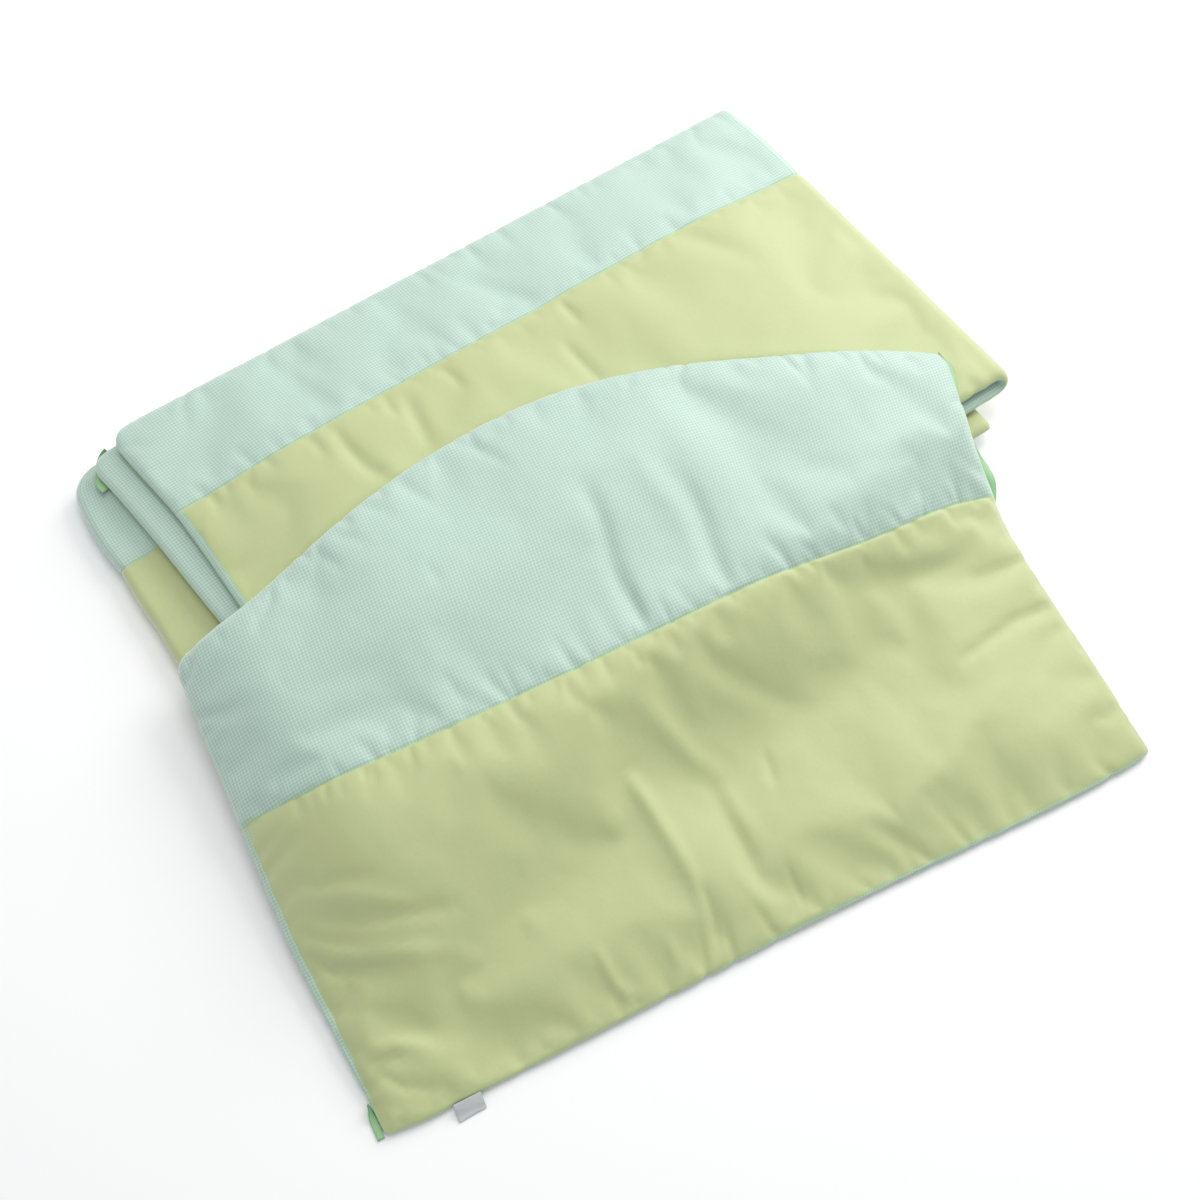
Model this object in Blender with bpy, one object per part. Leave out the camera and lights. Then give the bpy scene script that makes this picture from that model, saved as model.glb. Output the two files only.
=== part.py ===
"""Padded cot bumper set: an arched head pad laid over two folded side pads.

Each side pad is a long padded panel folded once on itself. The upper one has its fold on the right, the
lower one on the left. The head pad lies on them, turned a little, and drapes over their front edge and left
end to the surface. Ribbon ties and a blank care label are sewn into the pad edges.
Metres, Z up, resting on Z = 0 with the origin under the middle of the set.
"""

from math import cos, exp, hypot, pi, radians, sin, sqrt

import bmesh
import bpy
from mathutils import Vector

# Head pad: size, place of its lower left corner, thickness at the edge and in the middle
HEAD_WIDTH = 0.600
HEAD_TURN = radians(-9.6)
HEAD_CORNER = (-0.3967, -0.3570)
HEAD_PLY_EDGE = 0.0110
HEAD_PLY_MIDDLE = 0.0155
HEAD_ROUND_LOW = 0.004
HEAD_ROUND_TOP = 0.010

# Side pads: height of the upper and the lower one, width of the checked band, thickness of a ply,
# rounding of the ends' back and front corners and of each fold's corners
SIDE_UPPER_HEIGHT = 0.345
SIDE_LOWER_HEIGHT = 0.357
SIDE_BAND = 0.091
PLY_EDGE = 0.0100
PLY_MIDDLE = 0.0125
PLY_GAP = 0.0006
BACK_ROUND = 0.020
FRONT_ROUND = 0.004
UPPER_FOLD_ROUND = 0.002
LOWER_FOLD_ROUND = 0.018
FOLD_STEPS = 8

# Upper side pad: how far the front edge of the top ply lies behind that of the lower ply, how far the
# back edge of the lower ply lies before that of the top ply at its end, and the run over which the two
# come together
FRONT_STEP = 0.0065
BACK_STEP = 0.0055
BACK_STEP_RUN = 0.120

# Long edges of the side pads: where the back edge crosses X = 0, and its slope
SIDE_UPPER_BACK = (0.1766, -0.0285)
SIDE_LOWER_BACK = (0.1720, -0.0300)

# Padding: run of the rolled edge, run over which the crown rises, valley along the seam of the two
# fabrics
EDGE_ROLL = 0.009
CROWN_REACH = 0.120
SEAM_DIP = 0.0012
SEAM_REACH = 0.009

# The stack of plies under the head pad, in plan
STACK_LEFT = -0.290
STACK_RIGHT = 0.290
STACK_FRONT = -0.179
STACK_BACK = 0.178
STACK_PLIES = 4

# Where the head pad starts to fall outside the stack, and the run over which it reaches the surface. In
# front this run grows from the right end to the left one: place along X, run.
DRAPE_FRONT = -0.164
DRAPE_FRONT_RUNS = ((-0.36, 0.185), (0.20, 0.118))
DRAPE_LEFT = -0.277
DRAPE_LEFT_RUN = 0.150

# Ribbon ties and care label, and the clearance with which they lie on what is under them
TAPE_THICK = 0.0010
TAPE_CLEAR = 0.0003
TAPE_STEPS = 20

# Head pad across its width: share of the width, then the heights of its lower edge, its seam and its
# arch
HEAD_ACROSS = (
    (0.000, 0.0000, 0.2255, 0.3535),
    (0.050, -0.0024, 0.2215, 0.3595),
    (0.094, -0.0019, 0.2187, 0.3657),
    (0.181, -0.0023, 0.2172, 0.3841),
    (0.353, -0.0018, 0.2174, 0.4154),
    (0.517, -0.0008, 0.2200, 0.4255),
    (0.669, -0.0020, 0.2225, 0.4102),
    (0.810, -0.0042, 0.2204, 0.3801),
    (0.930, -0.0040, 0.2229, 0.3535),
    (1.000, -0.0010, 0.2190, 0.3340),
)
LOWER_EDGE, SEAM, ARCH = 1, 2, 3

# Head pad up its height: height above the lower edge, how far its left and right ends stand out from its
# width
HEAD_ENDS = (
    (0.000, -0.0045, -0.0040),
    (0.047, 0.0002, -0.0040),
    (0.090, 0.0046, -0.0035),
    (0.135, 0.0082, -0.0035),
    (0.200, 0.0096, -0.0020),
    (0.222, 0.0094, -0.0012),
    (0.255, 0.0092, -0.0023),
    (0.290, 0.0098, 0.0036),
    (0.325, 0.0100, 0.0122),
    (0.355, 0.0098, 0.0150),
)
LEFT_END, RIGHT_END = 1, 2

# Side pads up their height: height above the front edge, then the places along X of the fold, of the end
# of the top ply and of the end of the lower ply
SIDE_UPPER_ENDS = (
    (0.000, 0.3020, -0.2860, -0.2850),
    (0.060, 0.2998, -0.2860, -0.2920),
    (0.162, 0.2965, -0.2865, -0.3038),
    (0.249, 0.2928, -0.2885, -0.3114),
    (0.306, 0.2890, -0.2953, -0.3175),
    (0.345, 0.2862, -0.3000, -0.3235),
)
SIDE_LOWER_ENDS = (
    (0.000, -0.3490, 0.2710, 0.2440),
    (0.180, -0.3475, 0.2700, 0.2400),
    (0.250, -0.3475, 0.2690, 0.2385),
    (0.310, -0.3495, 0.2665, 0.2370),
    (0.357, -0.3440, 0.2650, 0.2360),
)
FOLD, TOP_END, LOWER_END = 1, 2, 3

# Creases of the head pad, in its own width and height: start, end, height (negative for a trough), half
# width
HEAD_CREASES = (
    ((0.247, 0.150), (0.252, 0.004), -0.0040, 0.013),
    ((0.222, 0.150), (0.226, 0.010), 0.0018, 0.014),
    ((0.299, 0.100), (0.300, 0.030), -0.0022, 0.013),
    ((0.426, 0.205), (0.590, 0.188), -0.0030, 0.020),
    ((0.000, 0.151), (0.060, 0.126), -0.0030, 0.014),
    ((0.000, 0.128), (0.050, 0.098), 0.0018, 0.014),
    ((0.590, 0.130), (0.495, 0.104), -0.0026, 0.015),
    ((0.342, 0.312), (0.362, 0.230), -0.0024, 0.014),
    ((0.290, 0.305), (0.290, 0.240), -0.0024, 0.014),
    ((0.231, 0.275), (0.240, 0.232), -0.0020, 0.014),
)
# Troughs in the top ply of the upper side pad, in plan: start, end, height, half width
SIDE_CREASES = (
    ((-0.006, 0.080), (-0.014, 0.012), -0.0022, 0.014),
    ((0.150, 0.078), (0.205, 0.036), -0.0018, 0.014),
    ((-0.130, 0.078), (-0.104, 0.028), -0.0020, 0.014),
    ((-0.030, 0.160), (0.010, 0.096), -0.0020, 0.016),
)

# Tie at the right end of the arch, which lies along the right end of the head pad: share of its length,
# height on the head pad, how far its middle stands out from the edge, width
TIE_ARCH = (
    (0.00, 0.3370, -0.0014, 0.0030),
    (0.08, 0.3300, 0.0016, 0.0060),
    (0.18, 0.3180, 0.0034, 0.0070),
    (0.30, 0.3030, 0.0018, 0.0062),
    (0.45, 0.2850, 0.0000, 0.0050),
    (0.62, 0.2640, -0.0008, 0.0050),
    (0.72, 0.2510, 0.0006, 0.0062),
    (0.80, 0.2420, 0.0026, 0.0078),
    (0.87, 0.2340, 0.0040, 0.0078),
    (0.94, 0.2260, 0.0022, 0.0060),
    (1.00, 0.2175, 0.0002, 0.0036),
)
# Tie at the lower left corner of the head pad: share of its length, place on the head pad, height of its
# underside above the surface, width
TIE_FOOT = (
    (0.00, 0.0007, 0.0225, 0.0046, 0.0026),
    (0.20, 0.0008, 0.0185, 0.0028, 0.0036),
    (0.45, 0.0004, 0.0140, 0.0009, 0.0046),
    (0.65, 0.0004, 0.0100, 0.0003, 0.0050),
    (0.85, 0.0005, 0.0050, 0.0003, 0.0050),
    (1.00, 0.0006, -0.0004, 0.0003, 0.0048),
)
# Tie at the corner of the upper side pad's lower ply: share of its length, place in plan, height of its
# underside above the surface, width
TIE_SIDE = (
    (0.00, -0.3072, 0.1815, 0.0258, 0.0030),
    (0.18, -0.3135, 0.1797, 0.0240, 0.0032),
    (0.36, -0.3180, 0.1753, 0.0215, 0.0036),
    (0.51, -0.3198, 0.1700, 0.0209, 0.0044),
    (0.66, -0.3213, 0.1647, 0.0209, 0.0066),
    (0.83, -0.3215, 0.1588, 0.0209, 0.0086),
    (1.00, -0.3203, 0.1527, 0.0209, 0.0088),
)
# Care label at the lower edge of the head pad: share of its drop, place on the head pad, height of its
# underside above the surface, width
CARE_LABEL = (
    (0.0, 0.0600, -0.0025, 0.0046, 0.0196),
    (0.4, 0.0600, -0.0062, 0.0026, 0.0196),
    (0.8, 0.0598, -0.0100, 0.0007, 0.0196),
    (1.0, 0.0597, -0.0122, 0.0003, 0.0196),
)


def smooth(t):
    """Goes from 0 to 1 with level ends."""
    t = min(max(t, 0.0), 1.0)
    return t * t * t * (10 - 15 * t + 6 * t * t)


def roll(distance):
    """Share of the full thickness at a distance from a sewn edge."""
    t = min(distance / EDGE_ROLL, 1.0)
    return sqrt(1 - (1 - t) ** 2)


def curve(rows, at, column):
    """Reads a column of a table as a smooth curve through its rows, by the table's first column."""
    last = len(rows) - 1
    i = max(k for k in range(last) if k == 0 or rows[k][0] <= at)
    near, far = rows[i], rows[i + 1]
    before, after = rows[max(i - 1, 0)], rows[min(i + 2, last)]
    step = far[0] - near[0]
    t = min(max((at - near[0]) / step, 0.0), 1.0)
    slope_near = (far[column] - before[column]) / (far[0] - before[0]) * step
    slope_far = (after[column] - near[column]) / (after[0] - near[0]) * step
    rise = (far[column] - near[column]) * t * t * (3 - 2 * t)
    return near[column] + rise + slope_near * t * (1 - t) ** 2 - slope_far * t * t * (1 - t)


def edge_spaced(run, count):
    """Distances from a sewn edge: close together in the rolled edge, then even up to the run."""
    even = [EDGE_ROLL + (run - EDGE_ROLL) * k / count for k in range(count)]
    return [0.0, 0.12 * EDGE_ROLL, 0.42 * EDGE_ROLL] + even


def rounded(from_end, from_edge, radius):
    """Draws a point near a square corner in onto a rounded one, by its distances from both edges."""
    if from_end >= radius or from_edge >= radius:
        return from_end, from_edge
    a = 1 - from_end / radius
    b = 1 - from_edge / radius
    return radius * (1 - a * sqrt(1 - b * b / 2)), radius * (1 - b * sqrt(1 - a * a / 2))


def crease_height(rows, x, y):
    """Sum of the soft ridges and troughs at a point."""
    total = 0.0
    for start, end, height, half_width in rows:
        dx, dy = end[0] - start[0], end[1] - start[1]
        length = hypot(dx, dy)
        along = ((x - start[0]) * dx + (y - start[1]) * dy) / length
        across = ((x - start[0]) * dy - (y - start[1]) * dx) / length
        beyond = max(-along, along - length, 0.0) / 1.5
        total += height * exp(-(across * across + beyond * beyond) / half_width**2)
    return total


def seam_height(distance):
    """Soft valley along the seam between the two front fabrics."""
    return -SEAM_DIP * exp(-((distance / SEAM_REACH) ** 2))


def ply(x, y):
    """Thickness of each ply of the stack, thinner near the stack's outline."""
    from_side = min(x - STACK_LEFT, STACK_RIGHT - x)
    from_end = min(y - STACK_FRONT, STACK_BACK - y)
    crown = smooth(from_side / CROWN_REACH) * smooth(from_end / CROWN_REACH)
    return PLY_EDGE + (PLY_MIDDLE - PLY_EDGE) * crown


def head_bed(x, y):
    """Height of the head pad's underside: on the stack, then down to the surface."""
    on_stack = STACK_PLIES * (ply(x, y) + PLY_GAP)
    (left, left_run), (right, right_run) = DRAPE_FRONT_RUNS
    share = min(max((x - left) / (right - left), 0.0), 1.0)
    past_front = smooth((DRAPE_FRONT - y) / (left_run + (right_run - left_run) * share))
    past_left = smooth((DRAPE_LEFT - x) / DRAPE_LEFT_RUN)
    return on_stack * (1 - past_front) * (1 - past_left)


def head_place(u, v):
    """Plan position of a point of the head pad, u across and v up from its lower left corner."""
    x = HEAD_CORNER[0] + u * cos(HEAD_TURN) - v * sin(HEAD_TURN)
    y = HEAD_CORNER[1] + u * sin(HEAD_TURN) + v * cos(HEAD_TURN)
    return x, y


def material(name, colour, roughness):
    mat = bpy.data.materials.new(name)
    mat.use_nodes = True
    shader = mat.node_tree.nodes["Principled BSDF"]
    shader.inputs["Base Color"].default_value = (*colour, 1.0)
    shader.inputs["Roughness"].default_value = roughness
    shader.inputs["Metallic"].default_value = 0.0
    mat.diffuse_color = (*colour, 1.0)
    return mat


def add_object(name, bm, materials):
    mesh = bpy.data.meshes.new(name)
    bm.to_mesh(mesh)
    bm.free()
    for mat in materials:
        mesh.materials.append(mat)
    mesh.shade_smooth()
    obj = bpy.data.objects.new(name, mesh)
    bpy.context.scene.collection.objects.link(obj)
    return obj


def padded_solid(name, front, back, seam_row, wrap, materials):
    """Closes two grids of points, which meet along their rims, into one filled solid.

    front and back hold rows of points across the pad. Material 0 is the plain panel below the seam row on
    the front, material 1 the checked fabric above it, all over the back and around the first wrap columns.
    """
    bm = bmesh.new()
    count, rows = len(front), len(front[0])
    face = [[bm.verts.new(p) for p in line] for line in front]
    rear = [
        [
            face[i][j] if i in (0, count - 1) or j in (0, rows - 1) else bm.verts.new(back[i][j])
            for j in range(rows)
        ]
        for i in range(count)
    ]
    for i in range(count - 1):
        for j in range(rows - 1):
            quad = (face[i][j], face[i + 1][j], face[i + 1][j + 1], face[i][j + 1])
            bm.faces.new(quad).material_index = 0 if j < seam_row and i >= wrap else 1
            quad = (rear[i][j + 1], rear[i + 1][j + 1], rear[i + 1][j], rear[i][j])
            bm.faces.new(quad).material_index = 1
    bmesh.ops.triangulate(bm, faces=bm.faces[:])
    return add_object(name, bm, materials)


def head_pad(materials):
    half = [s / HEAD_WIDTH for s in edge_spaced(HEAD_WIDTH / 2, 17)]
    shares = half + [0.5] + [1 - s for s in reversed(half)]
    front, back = [], []
    for share in shares:
        low = curve(HEAD_ACROSS, share, LOWER_EDGE)
        seam = curve(HEAD_ACROSS, share, SEAM)
        top = curve(HEAD_ACROSS, share, ARCH)
        panel = [low + d for d in edge_spaced(seam - low, 14)]
        band = [top - d for d in reversed(edge_spaced(top - seam, 12))]
        line_front, line_back = [], []
        for row in panel + [seam] + band:
            from_end = min(share, 1 - share) * HEAD_WIDTH
            from_edge = min(row - low, top - row)
            crown = smooth(from_end / CROWN_REACH) * smooth(from_edge / CROWN_REACH)
            thick = HEAD_PLY_EDGE + (HEAD_PLY_MIDDLE - HEAD_PLY_EDGE) * crown
            body = roll(from_end) * roll(from_edge)
            is_low = row - low < top - row
            in_end, in_edge = rounded(from_end, from_edge, HEAD_ROUND_LOW if is_low else HEAD_ROUND_TOP)
            v = low + in_edge if is_low else top - in_edge
            left = curve(HEAD_ENDS, v, LEFT_END)
            width = HEAD_WIDTH + left + curve(HEAD_ENDS, v, RIGHT_END)
            along = width * in_end / HEAD_WIDTH
            u = (along if share < 0.5 else width - along) - left
            x, y = head_place(u, v)
            bed = head_bed(x, y)
            lift = body * (crease_height(HEAD_CREASES, u, v) + seam_height(v - seam))
            line_front.append((x, y, bed + thick / 2 * (1 + body) + lift))
            line_back.append((x, y, bed + thick / 2 * (1 - body)))
        front.append(line_front)
        back.append(line_back)
    return padded_solid("head_pad", front, back, len(panel), wrap=3, materials=materials)


def side_pad(name, level, height, back_line, ends, fold_round, offsets, wrap, creases, materials):
    """One side pad folded once on itself, its top ply at level + 1 and its lower ply at level.

    Of the two offsets, the front one shortens the top ply's panel and the back one the lower ply's band near
    its end.
    """
    out = 1 if ends[0][FOLD] > ends[0][TOP_END] else -1
    radius = (PLY_EDGE + PLY_GAP) / 2
    seam = height - SIDE_BAND
    panel = edge_spaced(seam, 12)
    band = [height - d for d in reversed(edge_spaced(SIDE_BAND, 5))]
    run = abs(ends[0][FOLD] - ends[0][TOP_END])
    stations = [(TOP_END, d) for d in edge_spaced(run, 23)]
    stations += [(FOLD, pi * k / FOLD_STEPS) for k in range(FOLD_STEPS + 1)]
    stations += [(LOWER_END, d) for d in reversed(edge_spaced(run, 23))]
    front, back = [], []
    for kind, value in stations:
        line_front, line_back = [], []
        for row in panel + [seam] + band:
            from_edge = min(row, height - row)
            body = roll(from_edge)
            corner = fold_round * (1 - sqrt(1 - max(1 - from_edge / fold_round, 0) ** 2))
            centre = curve(ends, row, FOLD) - out * (radius + PLY_EDGE / 2 + corner)
            place = row
            if kind == FOLD:
                x = centre + out * radius * sin(value)
            else:
                is_front = row < height / 2
                in_end, in_edge = rounded(value, from_edge, FRONT_ROUND if is_front else BACK_ROUND)
                place = in_edge if is_front else height - in_edge
                end = curve(ends, place, kind)
                x = end + (centre - end) * in_end / run
                body *= roll(value)
            on_top = {TOP_END: 1.0, FOLD: ((1 + cos(value)) / 2) ** 2, LOWER_END: 0.0}[kind]
            at_end = 1 - smooth(value / BACK_STEP_RUN) if kind == LOWER_END else 0.0
            place += offsets[0] * on_top * max(1 - place / seam, 0.0)
            place -= offsets[1] * at_end * max(place - seam, 0.0) / SIDE_BAND
            y = back_line[0] + back_line[1] * x - height + place
            thick = PLY_EDGE if kind == FOLD else ply(x, y)
            tilt = {TOP_END: 0.0, FOLD: value, LOWER_END: pi}[kind]
            if kind == FOLD:
                z = (level + 1) * PLY_EDGE + (level + 0.5) * PLY_GAP + radius * cos(value)
            else:
                steps = level + 1 if kind == TOP_END else level
                z = (steps + 0.5) * thick + steps * PLY_GAP
            lift = 0.0
            if kind == TOP_END:
                lift = body * (crease_height(creases, x, y) + seam_height(row - seam))
            half = thick / 2 * body
            across, up = out * sin(tilt) * half, cos(tilt) * half
            line_front.append((x + across, y, z + up + lift))
            line_back.append((x - across, y, z - up))
        front.append(line_front)
        back.append(line_back)
    if out < 0:
        front.reverse()
        back.reverse()
    return padded_solid(name, front, back, len(panel), wrap, materials)


def tape(name, centres, mat):
    """A flat ribbon through (x, y, width, underside) centres. The underside is a height or a function."""
    bm = bmesh.new()
    rings = []
    for k, (x, y, width, under) in enumerate(centres):
        ahead = centres[min(k + 1, len(centres) - 1)]
        behind = centres[max(k - 1, 0)]
        along = Vector((ahead[0] - behind[0], ahead[1] - behind[1])).normalized()
        sides = []
        for hand in (-1, 1):
            sx, sy = x + hand * along.y * width / 2, y - hand * along.x * width / 2
            sides.append((sx, sy, under(sx, sy) if callable(under) else under))
        a, b = sides
        corners = (a, b, (b[0], b[1], b[2] + TAPE_THICK), (a[0], a[1], a[2] + TAPE_THICK))
        rings.append([bm.verts.new(p) for p in corners])
    for one, two in zip(rings, rings[1:]):
        for k in range(4):
            bm.faces.new((one[k], one[(k + 1) % 4], two[(k + 1) % 4], two[k]))
    bm.faces.new(reversed(rings[0]))
    bm.faces.new(rings[-1])
    bmesh.ops.recalc_face_normals(bm, faces=bm.faces[:])
    return add_object(name, bm, [mat])


def on_bed(x, y):
    """Underside of a tie which lies where the head pad lies."""
    return head_bed(x, y) - PLY_GAP + TAPE_CLEAR


def tape_shares():
    return [k / TAPE_STEPS for k in range(TAPE_STEPS + 1)]


def arch_tie(mat):
    centres = []
    for share in tape_shares():
        v = curve(TIE_ARCH, share, 1)
        u = HEAD_WIDTH + curve(HEAD_ENDS, v, RIGHT_END) + curve(TIE_ARCH, share, 2)
        centres.append((*head_place(u, v), curve(TIE_ARCH, share, 3), on_bed))
    return tape("tie_head_arch", centres, mat)


def corner_tape(name, rows, mat, on_head=True):
    """A ribbon from a table: its place on the head pad or in plan, its underside's height, its width."""
    centres = []
    for share in tape_shares():
        first, second, height, width = (curve(rows, share, column) for column in (1, 2, 3, 4))
        place = head_place(first, second) if on_head else (first, second)
        centres.append((*place, width, height))
    return tape(name, centres, mat)


def centre_on_origin(objects):
    """Moves the set so that the origin is under the middle of its box."""
    points = [vert.co for obj in objects for vert in obj.data.vertices]
    x = (min(p.x for p in points) + max(p.x for p in points)) / 2
    y = (min(p.y for p in points) + max(p.y for p in points)) / 2
    for point in points:
        point.x -= x
        point.y -= y


def main():
    for obj in list(bpy.data.objects):
        bpy.data.objects.remove(obj)
    plain = material("plain_cotton", (0.58, 0.66, 0.32), 0.85)
    check = material("checked_cotton", (0.55, 0.76, 0.66), 0.85)
    ribbon = material("satin_ribbon", (0.20, 0.52, 0.20), 0.35)
    tape_white = material("label_tape", (0.62, 0.65, 0.64), 0.6)
    pads = [plain, check]
    offsets = (FRONT_STEP, BACK_STEP)
    upper = (SIDE_UPPER_HEIGHT, SIDE_UPPER_BACK, SIDE_UPPER_ENDS, UPPER_FOLD_ROUND, offsets)
    lower = (SIDE_LOWER_HEIGHT, SIDE_LOWER_BACK, SIDE_LOWER_ENDS, LOWER_FOLD_ROUND, (0.0, 0.0))
    objects = [
        head_pad(pads),
        side_pad("side_pad_upper", 2, *upper, wrap=3, creases=SIDE_CREASES, materials=pads),
        side_pad("side_pad_lower", 0, *lower, wrap=0, creases=(), materials=pads),
        arch_tie(ribbon),
        corner_tape("tie_head_foot", TIE_FOOT, ribbon),
        corner_tape("tie_side_upper", TIE_SIDE, ribbon, on_head=False),
        corner_tape("care_label", CARE_LABEL, tape_white),
    ]
    centre_on_origin(objects)


main()
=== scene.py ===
from math import pi, radians

import bpy
import numpy as np
from mathutils import Matrix, Vector


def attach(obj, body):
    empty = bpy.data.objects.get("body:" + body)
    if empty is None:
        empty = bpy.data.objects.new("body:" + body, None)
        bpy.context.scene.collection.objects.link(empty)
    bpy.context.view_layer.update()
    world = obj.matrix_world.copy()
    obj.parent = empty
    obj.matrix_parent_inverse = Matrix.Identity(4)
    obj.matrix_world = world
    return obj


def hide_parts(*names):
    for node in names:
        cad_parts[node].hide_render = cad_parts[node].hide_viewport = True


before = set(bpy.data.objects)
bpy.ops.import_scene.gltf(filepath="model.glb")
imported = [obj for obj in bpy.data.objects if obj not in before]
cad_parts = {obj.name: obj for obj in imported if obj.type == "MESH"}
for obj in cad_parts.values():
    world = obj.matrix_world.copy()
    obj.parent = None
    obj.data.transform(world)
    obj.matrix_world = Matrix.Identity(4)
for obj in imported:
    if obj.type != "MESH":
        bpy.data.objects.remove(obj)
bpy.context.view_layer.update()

# The middle of the set, in the frame in which the tables of the pads are measured
SET_MIDDLE = (-0.048441, -0.136413)

# Head pad: width, turn, lower left corner, thickness at the edge and in the middle, rounding of the corners
HEAD_WIDTH = 0.600
HEAD_TURN = radians(-9.6)
HEAD_CORNER = (-0.3967, -0.3570)
HEAD_PLY_EDGE = 0.0110
HEAD_PLY_MIDDLE = 0.0155
HEAD_ROUND_LOW = 0.004
HEAD_ROUND_TOP = 0.010

# Side pads: height, checked band, thickness of a ply, gap, rounding of the corners, line of the back edge
SIDE_UPPER_HEIGHT = 0.345
SIDE_LOWER_HEIGHT = 0.357
SIDE_BAND = 0.091
PLY_EDGE = 0.0100
PLY_MIDDLE = 0.0125
PLY_GAP = 0.0006
BACK_ROUND = 0.020
FRONT_ROUND = 0.004
UPPER_FOLD_ROUND = 0.002
LOWER_FOLD_ROUND = 0.018
FOLD_STEPS = 16
SIDE_UPPER_BACK = (0.1766, -0.0285)
SIDE_LOWER_BACK = (0.1720, -0.0300)

# Upper side pad: how far its top ply's front edge lies behind the lower ply's, how far its lower ply's back
# edge lies before the top ply's at the end, and the run of that
FRONT_STEP = 0.0065
BACK_STEP = 0.0055
BACK_STEP_RUN = 0.120

# Lower side pad: how far its top ply sinks at the fold, and over which run
FOLD_SINK = 0.0045
FOLD_SINK_RUN = 0.070

# Side pads: how far the backing comes round at the top ply's end, opening inside the fold and its reach
UPPER_WRAP = 0.006
LOWER_WRAP = -0.001
UPPER_OPENING = 0.0010
LOWER_OPENING = 0.0020
GAPE_REACH = 0.040

# Padding: run of the rolled edge, run over which the crown rises
EDGE_ROLL = 0.009
CROWN_REACH = 0.120
# At the head pad's lower edge: run over which the filling ends, and how much thinner it gets
LOW_REACH = 0.060
LOW_DRAW = 0.0036

# The stack, and where the head pad falls to the floor: in front over a run that grows from right to left
STACK_LEFT = -0.290
STACK_RIGHT = 0.290
STACK_FRONT = -0.179
STACK_BACK = 0.178
STACK_PLIES = 4
DRAPE_FRONT = -0.164
DRAPE_FRONT_RUNS = ((-0.36, 0.185), (0.20, 0.118))
DRAPE_LEFT = -0.277
DRAPE_LEFT_RUN = 0.150

# Rises of the head pad between the stack and the floor: height, place and reach up the pad, start and end
# across it with their runs
BRIDGES = (
    (0.004, 0.110, 0.055, 0.0, 0.08, 0.40, 0.20),
    (0.005, 0.185, 0.050, 0.22, 0.20, 0.62, 0.06),
)

# Seam of the two front fabrics: depth on the head pad and on the side pads, shoulder
SEAM_DEPTH = 0.0020
SIDE_SEAM_DEPTH = 0.0018
SEAM_SHOULDER = 0.009
# Hem beside the head pad's panel: depth, shoulder, run over which it ends at the seam
HEM_DEPTH = 0.0046
HEM_SHOULDER = 0.024
HEM_FADE = 0.006

# Gathers: seed, spacing, reach into the cloth, depth
HEAD_GATHERS = {
    "lower edge": (11, 0.021, 0.022, 0.0013),
    "arch": (12, 0.011, 0.015, 0.0010),
    "under seam": (13, 0.013, 0.012, 0.0006),
    "over seam": (14, 0.012, 0.012, 0.0007),
    "left end": (15, 0.015, 0.022, 0.0011),
    "right end": (16, 0.016, 0.018, 0.0010),
}
SIDE_GATHERS = {
    "front edge": (31, 0.020, 0.018, 0.0011),
    "back edge": (41, 0.013, 0.013, 0.0010),
    "under seam": (51, 0.016, 0.012, 0.0007),
    "over seam": (61, 0.014, 0.012, 0.0006),
    "ends": (71, 0.017, 0.016, 0.0010),
}
# Run of the gathers at the head pad's ends
HEAD_END_RUN = 0.4
# How much of a gather's depth the rim draws in, and its reach into the cloth
HEAD_EDGE_DRAW = 0.55
RIM_DRAW = 0.5
RIM_DRAW_REACH = 0.006

# Soft swells and hollows: height, distance between them, seed; grid of random values and its shift
HEAD_SWELLS = ((0.0011, 0.070, 21), (0.0005, 0.028, 22), (0.00018, 0.011, 23))
SIDE_SWELLS = ((0.0009, 0.060, 81), (0.0004, 0.024, 91))
SWELL_CELLS = (97, 89)
SWELL_SHIFT = (31.7, 27.3)

# The head pad presses the upper side pad down: how far its two ends stand out for this, least height at
# which its right end is read, start outside its outline and run of the pressing
UNDER_HEAD_LEFT = 0.009
UNDER_HEAD_RIGHT = 0.005
UNDER_HEAD_LOW = 0.2
UNDER_HEAD_START = 0.010
UNDER_HEAD_RUN = 0.011
# The upper side pad presses the lower one down, up to a place along X: start and run of the pressing
UNDER_UPPER_END = 0.283
UNDER_UPPER_START = 0.008
UNDER_UPPER_RUN = 0.010
# How far lower plies are pressed, and how much of a hollow full pressing takes away
PRESSED_LOWER = 0.9
PRESSED_HOLLOWS = 0.7

# Simulated cloth: size of a cell, frames, settings
CLOTH_CELL = 0.004
CLOTH_FRAMES = 20
CLOTH_SETTINGS = {
    "quality": 6,
    "mass": 0.2,
    "tension_stiffness": 15,
    "compression_stiffness": 15,
    "shear_stiffness": 5,
    "bending_stiffness": 6,
}
# Share by which it is cut larger than its padding, how far a point moves, and rises on a side pad, at most
HEAD_CRUMPLE = (0.0085, 0.0035)
SIDE_CRUMPLE = (0.0045, 0.0028)
SIDE_RISE = 0.003
# How firmly it is held everywhere, and how much more beside the seam and the rim, each with its reach
HOLD_LEAST = 0.03
HOLD_SEAM = (0.30, 0.011)
HOLD_RIM = (0.20, 0.009)
# Distance from a rim and from a fold over which its movement sets in
MOVE_RIM = 0.006
MOVE_FOLD = 0.02

# Distances from a rim and from a seam of the first rows of points
RIM_STEPS = (0.0, 0.0003, 0.0010, 0.0022, 0.0040, 0.0063)
SEAM_STEPS = (0.0, 0.0008, 0.0018, 0.0032, 0.0050)
# Cells across the head pad, up its panel and its band
HEAD_COUNTS = (280, 52, 40)
# Cells along a side pad's top and lower ply, up its panel and its band
UPPER_COUNTS = (200, 60, 56, 26)
LOWER_COUNTS = (140, 60, 56, 26)
# The back is checked up to the rim: its least distance from the plain cloth
BACK_TRIM = 0.0001

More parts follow.
